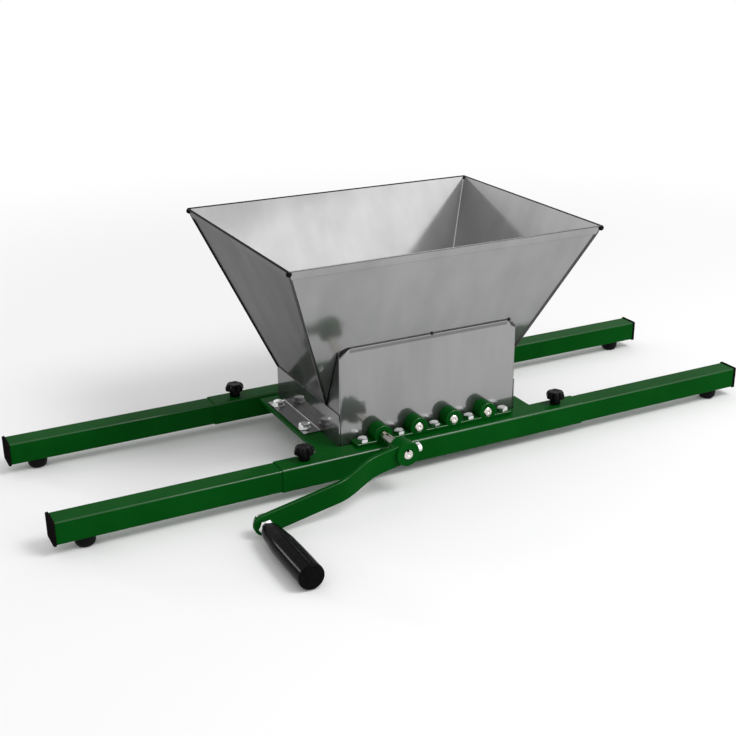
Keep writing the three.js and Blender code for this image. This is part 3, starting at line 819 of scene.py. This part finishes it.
def side_panels():
    for end, sign in (("left", -1), ("right", 1)):
        low, high, _ = box(end + "_side_panel")
        bolts = box(end + "_flange_bolt_1", end + "_flange_bolt_2")
        start, stop = bolts[0].y - FLANGE_MARGIN, bolts[1].y + FLANGE_MARGIN
        ends = [(low.y, False), (start, False), (start, True), (stop, True), (stop, False), (high.y, False)]
        loops = [
            [(sign * x, y, z) for x, z in panel_section(low, high, flanged)]
            for y, flanged in ends
        ]
        finish_piece(skin(loops), end + "_side_sheet", end + "_side_panel", look=PANEL_LOOK)


def panel_section(low, high, flanged):
    """Outline (x, z) of an upright sheet, whose foot turns outward where it is flanged."""
    inner, reach = sorted((abs(low.x), abs(high.x)))
    lift = SHEET if flanged else 0
    bend = PANEL_BEND if flanged else TINY
    outer_bend = PANEL_BEND + SHEET if flanged else TINY
    far = reach if flanged else inner + SHEET
    points = [(inner, low.z + bend + lift), (inner, high.z), (inner + SHEET, high.z)]
    for angle in quarter(4):
        x = inner + SHEET + bend * (1 - math.cos(angle))
        points.append((x, low.z + lift + bend * (1 - math.sin(angle))))
    points += [(far, low.z + lift), (far, low.z)]
    for angle in quarter(4):
        x = inner + outer_bend * (1 - math.sin(angle))
        points.append((x, low.z + outer_bend * (1 - math.cos(angle))))
    return points


# Bearing strips and fasteners

def bearing_strips():
    for side, sign in (("front", -1), ("back", 1)):
        bearing_strip(side, sign)


def bearing_strip(side, sign):
    """A low bar with four round bosses, bored for the shafts and cut off level below."""
    low, high, _ = box(side + "_bearing_strip")
    root, face = (high.y, low.y) if sign < 0 else (low.y, high.y)
    reach = high.y - low.y
    middle = (low.z + STRIP_TOP) / 2
    half = (STRIP_TOP - low.z) / 2
    section = rounded_rectangle(high.x, half, BAR_CORNER, 3)
    end_section = rounded_rectangle(high.x - EDGE, half - EDGE, STRIP_END_CORNER, 3)
    loops = [along_y(section, y, 0, middle) for y in (root, face - sign * EDGE)]
    shape = skin(loops + [along_y(end_section, face, 0, middle)])
    height = joint_places["crank_turn"].z
    places = [facing((0, sign, 0), (joint_places[n].x, root, height)) for n in SHAFT_JOINTS]
    boss = [
        (TINY, 0.0),
        (BOSS_RADIUS, 0.0),
        (BOSS_RADIUS, reach - 1.2),
        (BOSS_RADIUS - 0.4, reach - 0.4),
        (BOSS_RADIUS - 1.2, reach),
        (TINY, reach),
    ]
    bore = [
        (TINY, -1.0),
        (SHAFT_BORE, -1.0),
        (SHAFT_BORE, reach - 0.7),
        (SHAFT_BORE + 0.7, reach),
        (SHAFT_BORE + 1.3, reach + 0.6),
        (TINY, reach + 0.6),
    ]
    for place in places:
        shape = combine(shape, turned(boss, place), "UNION")
    below = block((-200, low.y - 5, low.z - 20), (200, high.y + 5, low.z))
    shape = combine(shape, below, "DIFFERENCE")
    for place in places:
        shape = combine(shape, turned(bore, place), "DIFFERENCE")
    finish_piece(shape, side + "_strip_casting", side + "_bearing_strip")


def hex_radius(across, phase):
    def at(angle):
        part = (angle - phase + math.pi / 6) % (math.pi / 3) - math.pi / 6
        return across / 2 / math.cos(part)
    return at


def hex_profile(across, height, start, phase):
    """Rings of a hexagon head with the usual 30 degree chamfer on top."""
    outline = hex_radius(across, phase)
    land = across / 2 * HEX_LAND

    def shoulder(angle):
        return start + height - max(0.0, outline(angle) - land) * math.tan(math.radians(30))

    return [
        (lambda a: outline(a) - 0.25, start),
        (outline, start + 0.25),
        (outline, shoulder),
        (lambda a: min(land, outline(a)), start + height),
    ]


def hex_bolt(place, shank, washer=0.0, phase=0.0, across=HEX_SMALL):
    """A bolt with a round shank, a washer of some thickness if any, and a hexagon head."""
    rings = [(TINY, -shank), (BOLT_RADIUS - 0.4, -shank), (BOLT_RADIUS, -shank + 0.5), (BOLT_RADIUS, 0.0)]
    if washer:
        rings += [(WASHER_RADIUS - 0.3, 0.0), (WASHER_RADIUS, 0.2)]
        rings += [(WASHER_RADIUS, washer - 0.2), (WASHER_RADIUS - 0.2, washer)]
    else:
        rings += [(BOLT_RADIUS + 1.0, 0.0)]
    height = HEX_SMALL_HEIGHT + HEX_SMALL_RISE
    top = washer + height
    rings += hex_profile(across, height, washer, phase)
    rings += [(across * 0.33, top), (across * 0.3, top - 0.12), (TINY, top - 0.15)]
    return turned(rings, place, 72)


def fasteners():
    """The bolts that stand on the strips and, with washers, on the panels' flanges."""
    strips = [(f"{side}_strip_bolt_{n}", 0.0) for side in ("front", "back") for n in range(1, 6)]
    flanges = [(f"{end}_flange_bolt_{n}", WASHER_THICKNESS) for end in ("left", "right") for n in (1, 2)]
    for number, (name, washer) in enumerate(strips + flanges):
        low, high, centre = box(name)
        seat = high.z - HEX_SMALL_HEIGHT - washer
        place = Matrix.Translation((centre.x, centre.y, seat))
        turn = BOLT_TURN + BOLT_TURN_STEP * (number * 7 % 5 - 2)
        finish_piece(hex_bolt(place, seat - low.z, washer, turn), name + "_head", name)


# Shafts and crank

def shafts():
    for number, joint in enumerate(SHAFT_JOINTS, 1):
        low, high, _ = box(f"shaft_{number}")
        centre = joint_places[joint]
        length = high.y - low.y
        radius = (high.z - low.z) / 2
        chamfer = LONG_SHAFT_CHAMFER if number == 1 else SHORT_SHAFT_CHAMFER
        profile = [
            (TINY, 1.4),
            (0.6, 1.1),
            (CENTRE_HOLE_RADIUS, 0.0),
            (radius - chamfer, 0.0),
            (radius, chamfer),
            (radius, length - 0.6),
            (radius - 0.6, length),
            (CENTRE_HOLE_RADIUS, length),
            (TINY, length - 1.4),
        ]
        shape = turned(profile, facing((0, 1, 0), (centre.x, low.y, centre.z)), 48)
        if number == 1:
            shape = combine(shape, key_slot(centre, low.y, radius), "DIFFERENCE")
        finish_piece(shape, f"shaft_{number}_bar", f"shaft_{number}")


def key_slot(centre, start, radius):
    """The keyway's space, from the shaft's outer end to just short of the bearing."""
    angle = math.radians(KEYWAY_ANGLE)
    out = Vector((math.cos(angle), 0, math.sin(angle)))
    side = Vector((-math.sin(angle), 0, math.cos(angle))) * KEYWAY_HALF_WIDTH
    bottom = out * (radius - KEYWAY_DEPTH)
    top = out * (radius + 2)
    loops = []
    for y in (start - 1, box("front_bearing_strip")[0].y - 2):
        base = Vector((centre.x, y, centre.z))
        loops.append([base + bottom - side, base + bottom + side, base + top + side, base + top - side])
    return skin(loops)


def crank_frame():
    """Matrix from the crank's own axes, its length along +X and its outer side along -Y, to the frame."""
    centre = joint_places["crank_turn"]
    turn = Matrix.Rotation(math.radians(180 - CRANK_ANGLE), 4, "Y")
    return Matrix.Translation((centre.x, 0, centre.z)) @ turn


def crank_arm():
    """A flat bar on a bored hub, with a set screw in the hub."""
    low, high, _ = box("crank_arm")
    inner_face = low.y + CRANK_OFFSET
    hub_place = crank_frame() @ facing((0, -1, 0), (0, high.y, 0))
    depth = high.y - (inner_face - HUB_PROUD)
    hub = [
        (TINY, 0.0),
        (HUB_RADIUS - 0.6, 0.0),
        (HUB_RADIUS, 0.6),
        (HUB_RADIUS, depth - 0.8),
        (HUB_RADIUS - 0.3, depth - 0.25),
        (HUB_RADIUS - 0.9, depth),
        (TINY, depth),
    ]
    bore = [
        (TINY, -1.0),
        (SHAFT_BORE, -1.0),
        (SHAFT_BORE, depth - 0.8),
        (SHAFT_BORE + 0.9, depth + 0.1),
        (SHAFT_BORE + 0.9, depth + 1),
        (TINY, depth + 1),
    ]
    shape = combine(crank_bar(low.y, inner_face), turned(hub, hub_place, 72), "UNION")
    shape = combine(shape, turned(bore, hub_place, 48), "DIFFERENCE")
    finish_piece(shape, "crank_forging", "crank_arm", smooth=32)

    seat = (-SET_SCREW_SEAT, inner_face + CRANK_THICKNESS / 2, 0)
    screw_place = crank_frame() @ facing((-1, 0, 0), seat)
    screw = hex_bolt(screw_place, SET_SCREW_LENGTH, phase=SET_SCREW_TURN, across=SET_SCREW_HEX)
    finish_piece(screw, "crank_set_screw_head", "crank_set_screw")


def crank_bar(outer_face, inner_face):
    """The flat bar, which bends outward on its way and ends round at the grip."""
    place = crank_frame()
    bend_start, bend_end = CRANK_BEND
    half = CRANK_HALF_WIDTH

    def face_at(r):
        t = min(max((r - bend_start) / (bend_end - bend_start), 0.0), 1.0)
        ease = t * t * (3 - 2 * t)
        return inner_face + ease * (outer_face - inner_face)

    stations = [0.0, 18.0, 30.0]
    stations += [bend_start + (bend_end - bend_start) * i / 16 for i in range(17)]
    stations += [120.0, 160.0, CRANK_LENGTH - 2]
    widths = [(r, half) for r in stations]
    widths += [(CRANK_LENGTH + half * math.sin(a), half * math.cos(a)) for a in quarter(12)[:-1]]
    widths += [(CRANK_LENGTH + half * 0.999, half * 0.04)]
    loops = []
    for r, width in widths:
        section = rounded_rectangle(CRANK_THICKNESS / 2, width, min(0.9, width * 0.9), 3)
        middle = face_at(r) + CRANK_THICKNESS / 2
        loops.append([place @ Vector((r, middle + u, v)) for u, v in section])
    return skin(loops)


def on_grip_axis(way, y):
    """Matrix of a turned part on the grip's axis that starts at y and points along -Y or +Y."""
    return crank_frame() @ facing((0, way, 0), (CRANK_LENGTH, y, 0))


def grip_pin():
    low, high, _ = box("grip_pin")
    shank = high.y - low.y - PIN_HEAD
    rings = [(TINY, 0.0), (PIN_RADIUS - 0.4, 0.0), (PIN_RADIUS, 0.5), (PIN_RADIUS, shank)]
    rings += [(PIN_RADIUS + 2.4, shank)] + hex_profile(PIN_HEX, PIN_HEAD, shank, -NUT_TURN)
    rings += [(TINY, high.y - low.y)]
    finish_piece(turned(rings, on_grip_axis(1, low.y), 72), "grip_pin_bolt", "grip_pin")


def grip_nut():
    low, high, _ = box("grip_nut")
    thickness = high.y - low.y
    rings = hex_profile(NUT_HEX, thickness, 0, NUT_TURN)
    rings += [(GRIP_BORE + 0.6, thickness), (GRIP_BORE, thickness - 0.5), (GRIP_BORE, 0.0)]
    finish_piece(turned(rings, on_grip_axis(-1, high.y), 72, True), "grip_nut_hex", "grip_nut")


def grip():
    low, high, _ = box("grip")
    profile = grip_profile(high.y - low.y, (high.x - low.x) / 2)
    shape = turned(profile, on_grip_axis(-1, high.y), 96)
    finish_piece(shape, "grip_handle", "grip", smooth=50)


def grip_profile(total, big):
    """Bore, thin collar, rounded shoulder, slow swell and a rounded end."""
    marks = [
        (6.2, 0.0), (6.5, 0.4), (6.5, 3.0), (7.4, 3.5), (8.9, 4.6), (9.8, 5.7), (10.3, 6.8), (11.0, 9.8),
        (12.0, 14.6), (12.5, 20.5), (13.0, 28.0), (13.85, 36.0), (14.7, 45.0), (14.95, 55.0), (15.15, 65.0),
        (15.35, 73.2), (15.4, 90.0), (15.4, total - GRIP_END_HEIGHT),
    ]
    rings = [(TINY, 6.0), (GRIP_BORE, 6.0), (GRIP_BORE, 0.0)] + [(min(r, big), h) for r, h in marks]
    for angle in quarter(6)[1:]:
        radius = big - GRIP_END_ROUNDING * (1 - math.cos(angle))
        rings.append((radius, total - GRIP_END_HEIGHT + GRIP_END_HEIGHT * math.sin(angle)))
    return rings + [(big - 3.2, total), (TINY, total)]


# Hidden solids, which keep their own mesh

def dress_hidden_nodes():
    for name in ("inner_front_plate", "back_plate"):
        dress(name, 0.2)
    for number in range(1, 5):
        dress(f"gear_{number}", 0.25)
        dress(f"roller_{number}", 0.4)


def dress(name, rounding):
    thing = frame["nodes"][name]
    look = LOOKS[slot_of_node[name]]
    if not thing.data.materials:
        thing.data.materials.append(look)
    for slot in thing.material_slots:
        slot.material = look
    weld = thing.modifiers.new("weld", "WELD")
    weld.merge_threshold = 1e-5
    bevel = thing.modifiers.new("edges", "BEVEL")
    bevel.width = rounding * MM
    bevel.segments = 2
    bevel.limit_method = "ANGLE"
    bevel.angle_limit = math.radians(25)


# Floor, world, lights and camera

def seen_directly(tree):
    """1 for what the camera, a reflection or a view through glass shows, 0 for soft light."""
    path = node(tree, "ShaderNodeLightPath").outputs
    seen = arithmetic(tree, "MAXIMUM", path["Is Camera Ray"], path["Is Glossy Ray"])
    return arithmetic(tree, "MAXIMUM", seen, path["Is Transmission Ray"])


def floor_look():
    """Pale round the object, where its shadow falls, and plain white away from it."""
    material, tree, shader = new_material("floor_look")
    seen = seen_directly(tree)
    bounce, pale = ((v, v, v, 1) for v in (FLOOR_BOUNCE, FLOOR_SEEN))
    looks = {"Base Color": mixed(tree, seen, bounce, pale), "Roughness": 0.9, "Specular IOR Level": 0.0}
    feed(tree, shader, looks)
    place = node(tree, "ShaderNodeTexCoord").outputs["Object"]
    far = node(tree, "ShaderNodeVectorMath", {0: place}, operation="LENGTH").outputs["Value"]
    limits = {"Value": far, "From Min": FLOOR_FADE[0], "From Max": FLOOR_FADE[1]}
    fade = node(tree, "ShaderNodeMapRange", limits, interpolation_type="SMOOTHSTEP").outputs["Result"]
    reflected = node(tree, "ShaderNodeLightPath").outputs["Is Glossy Ray"]
    least = arithmetic(tree, "MAXIMUM", fade, arithmetic(tree, "MULTIPLY", reflected, FLOOR_MIRRORED))
    white = node(tree, "ShaderNodeEmission", {"Color": (1, 1, 1, 1), "Strength": 1.0})
    mixed_shader(tree, arithmetic(tree, "MULTIPLY", least, seen), shader, white)
    return material


def floor():
    bpy.ops.mesh.primitive_plane_add(size=FLOOR_SIZE, location=(0, 0, -0.0001))
    ground = bpy.context.object
    ground.name = "floor"
    ground.data.materials.append(floor_look())


def studio_world():
    world = bpy.data.worlds.new("studio")
    bpy.context.scene.world = world
    world.use_nodes = True
    tree = world.node_tree
    strength = spread(tree, seen_directly(tree), WORLD_LEVEL, 1.0, 0, 1)
    feed(tree, tree.nodes["Background"], {"Strength": strength, "Color": (1, 1, 1, 1)})


def area_light(name, place, target, size, power):
    data = bpy.data.lights.new(name, "AREA")
    data.shape = "RECTANGLE"
    data.size, data.size_y = size
    data.energy = power
    lamp = bpy.data.objects.new(name, data)
    bpy.context.scene.collection.objects.link(lamp)
    lamp.location = place
    lamp.rotation_mode = "QUATERNION"
    lamp.rotation_quaternion = (Vector(target) - Vector(place)).to_track_quat("-Z", "Y")


def lights():
    area_light("key_softbox", (1.2, -1.5, 2.7), (0, 0.1, 0.1), size=(1.3, 1.3), power=46)
    area_light("front_fill", (0.95, -1.75, 0.85), (0, 0, 0.2), size=(1.6, 1.0), power=5)
    area_light("back_left_lamp", (-1.57, 1.63, 0.45), (-0.3, -0.2, 0.05), size=(0.22, 0.22), power=6)


def camera():
    data = bpy.data.cameras.new("photo_camera")
    data.sensor_width = SENSOR_WIDTH
    data.lens = SENSOR_WIDTH * FOCAL_PIXELS / IMAGE_SIDE
    data.shift_x = (IMAGE_SIDE / 2 - CENTRE_PIXEL[0]) / IMAGE_SIDE
    data.shift_y = (CENTRE_PIXEL[1] - IMAGE_SIDE / 2) / IMAGE_SIDE
    data.clip_start = 0.05
    data.clip_end = 100
    shot = bpy.data.objects.new("photo_camera", data)
    bpy.context.scene.collection.objects.link(shot)
    azimuth = math.radians(CAMERA_AZIMUTH)
    elevation = math.radians(CAMERA_ELEVATION)
    level = math.cos(elevation)
    back = Vector((math.sin(azimuth) * level, -math.cos(azimuth) * level, math.sin(elevation)))
    target = Vector((0, FRAME_SHIFT, CAMERA_TARGET_HEIGHT))
    shot.location = (target + back * CAMERA_DISTANCE) * MM
    shot.rotation_mode = "QUATERNION"
    shot.rotation_quaternion = (-back).to_track_quat("-Z", "Y")
    bpy.context.scene.camera = shot


rails()
crossbars()
hopper()
front_cover()
side_panels()
bearing_strips()
fasteners()
shafts()
crank_arm()
grip_pin()
grip_nut()
grip()
dress_hidden_nodes()
floor()
studio_world()
lights()
camera()

bpy.context.scene.view_settings.view_transform = "Standard"
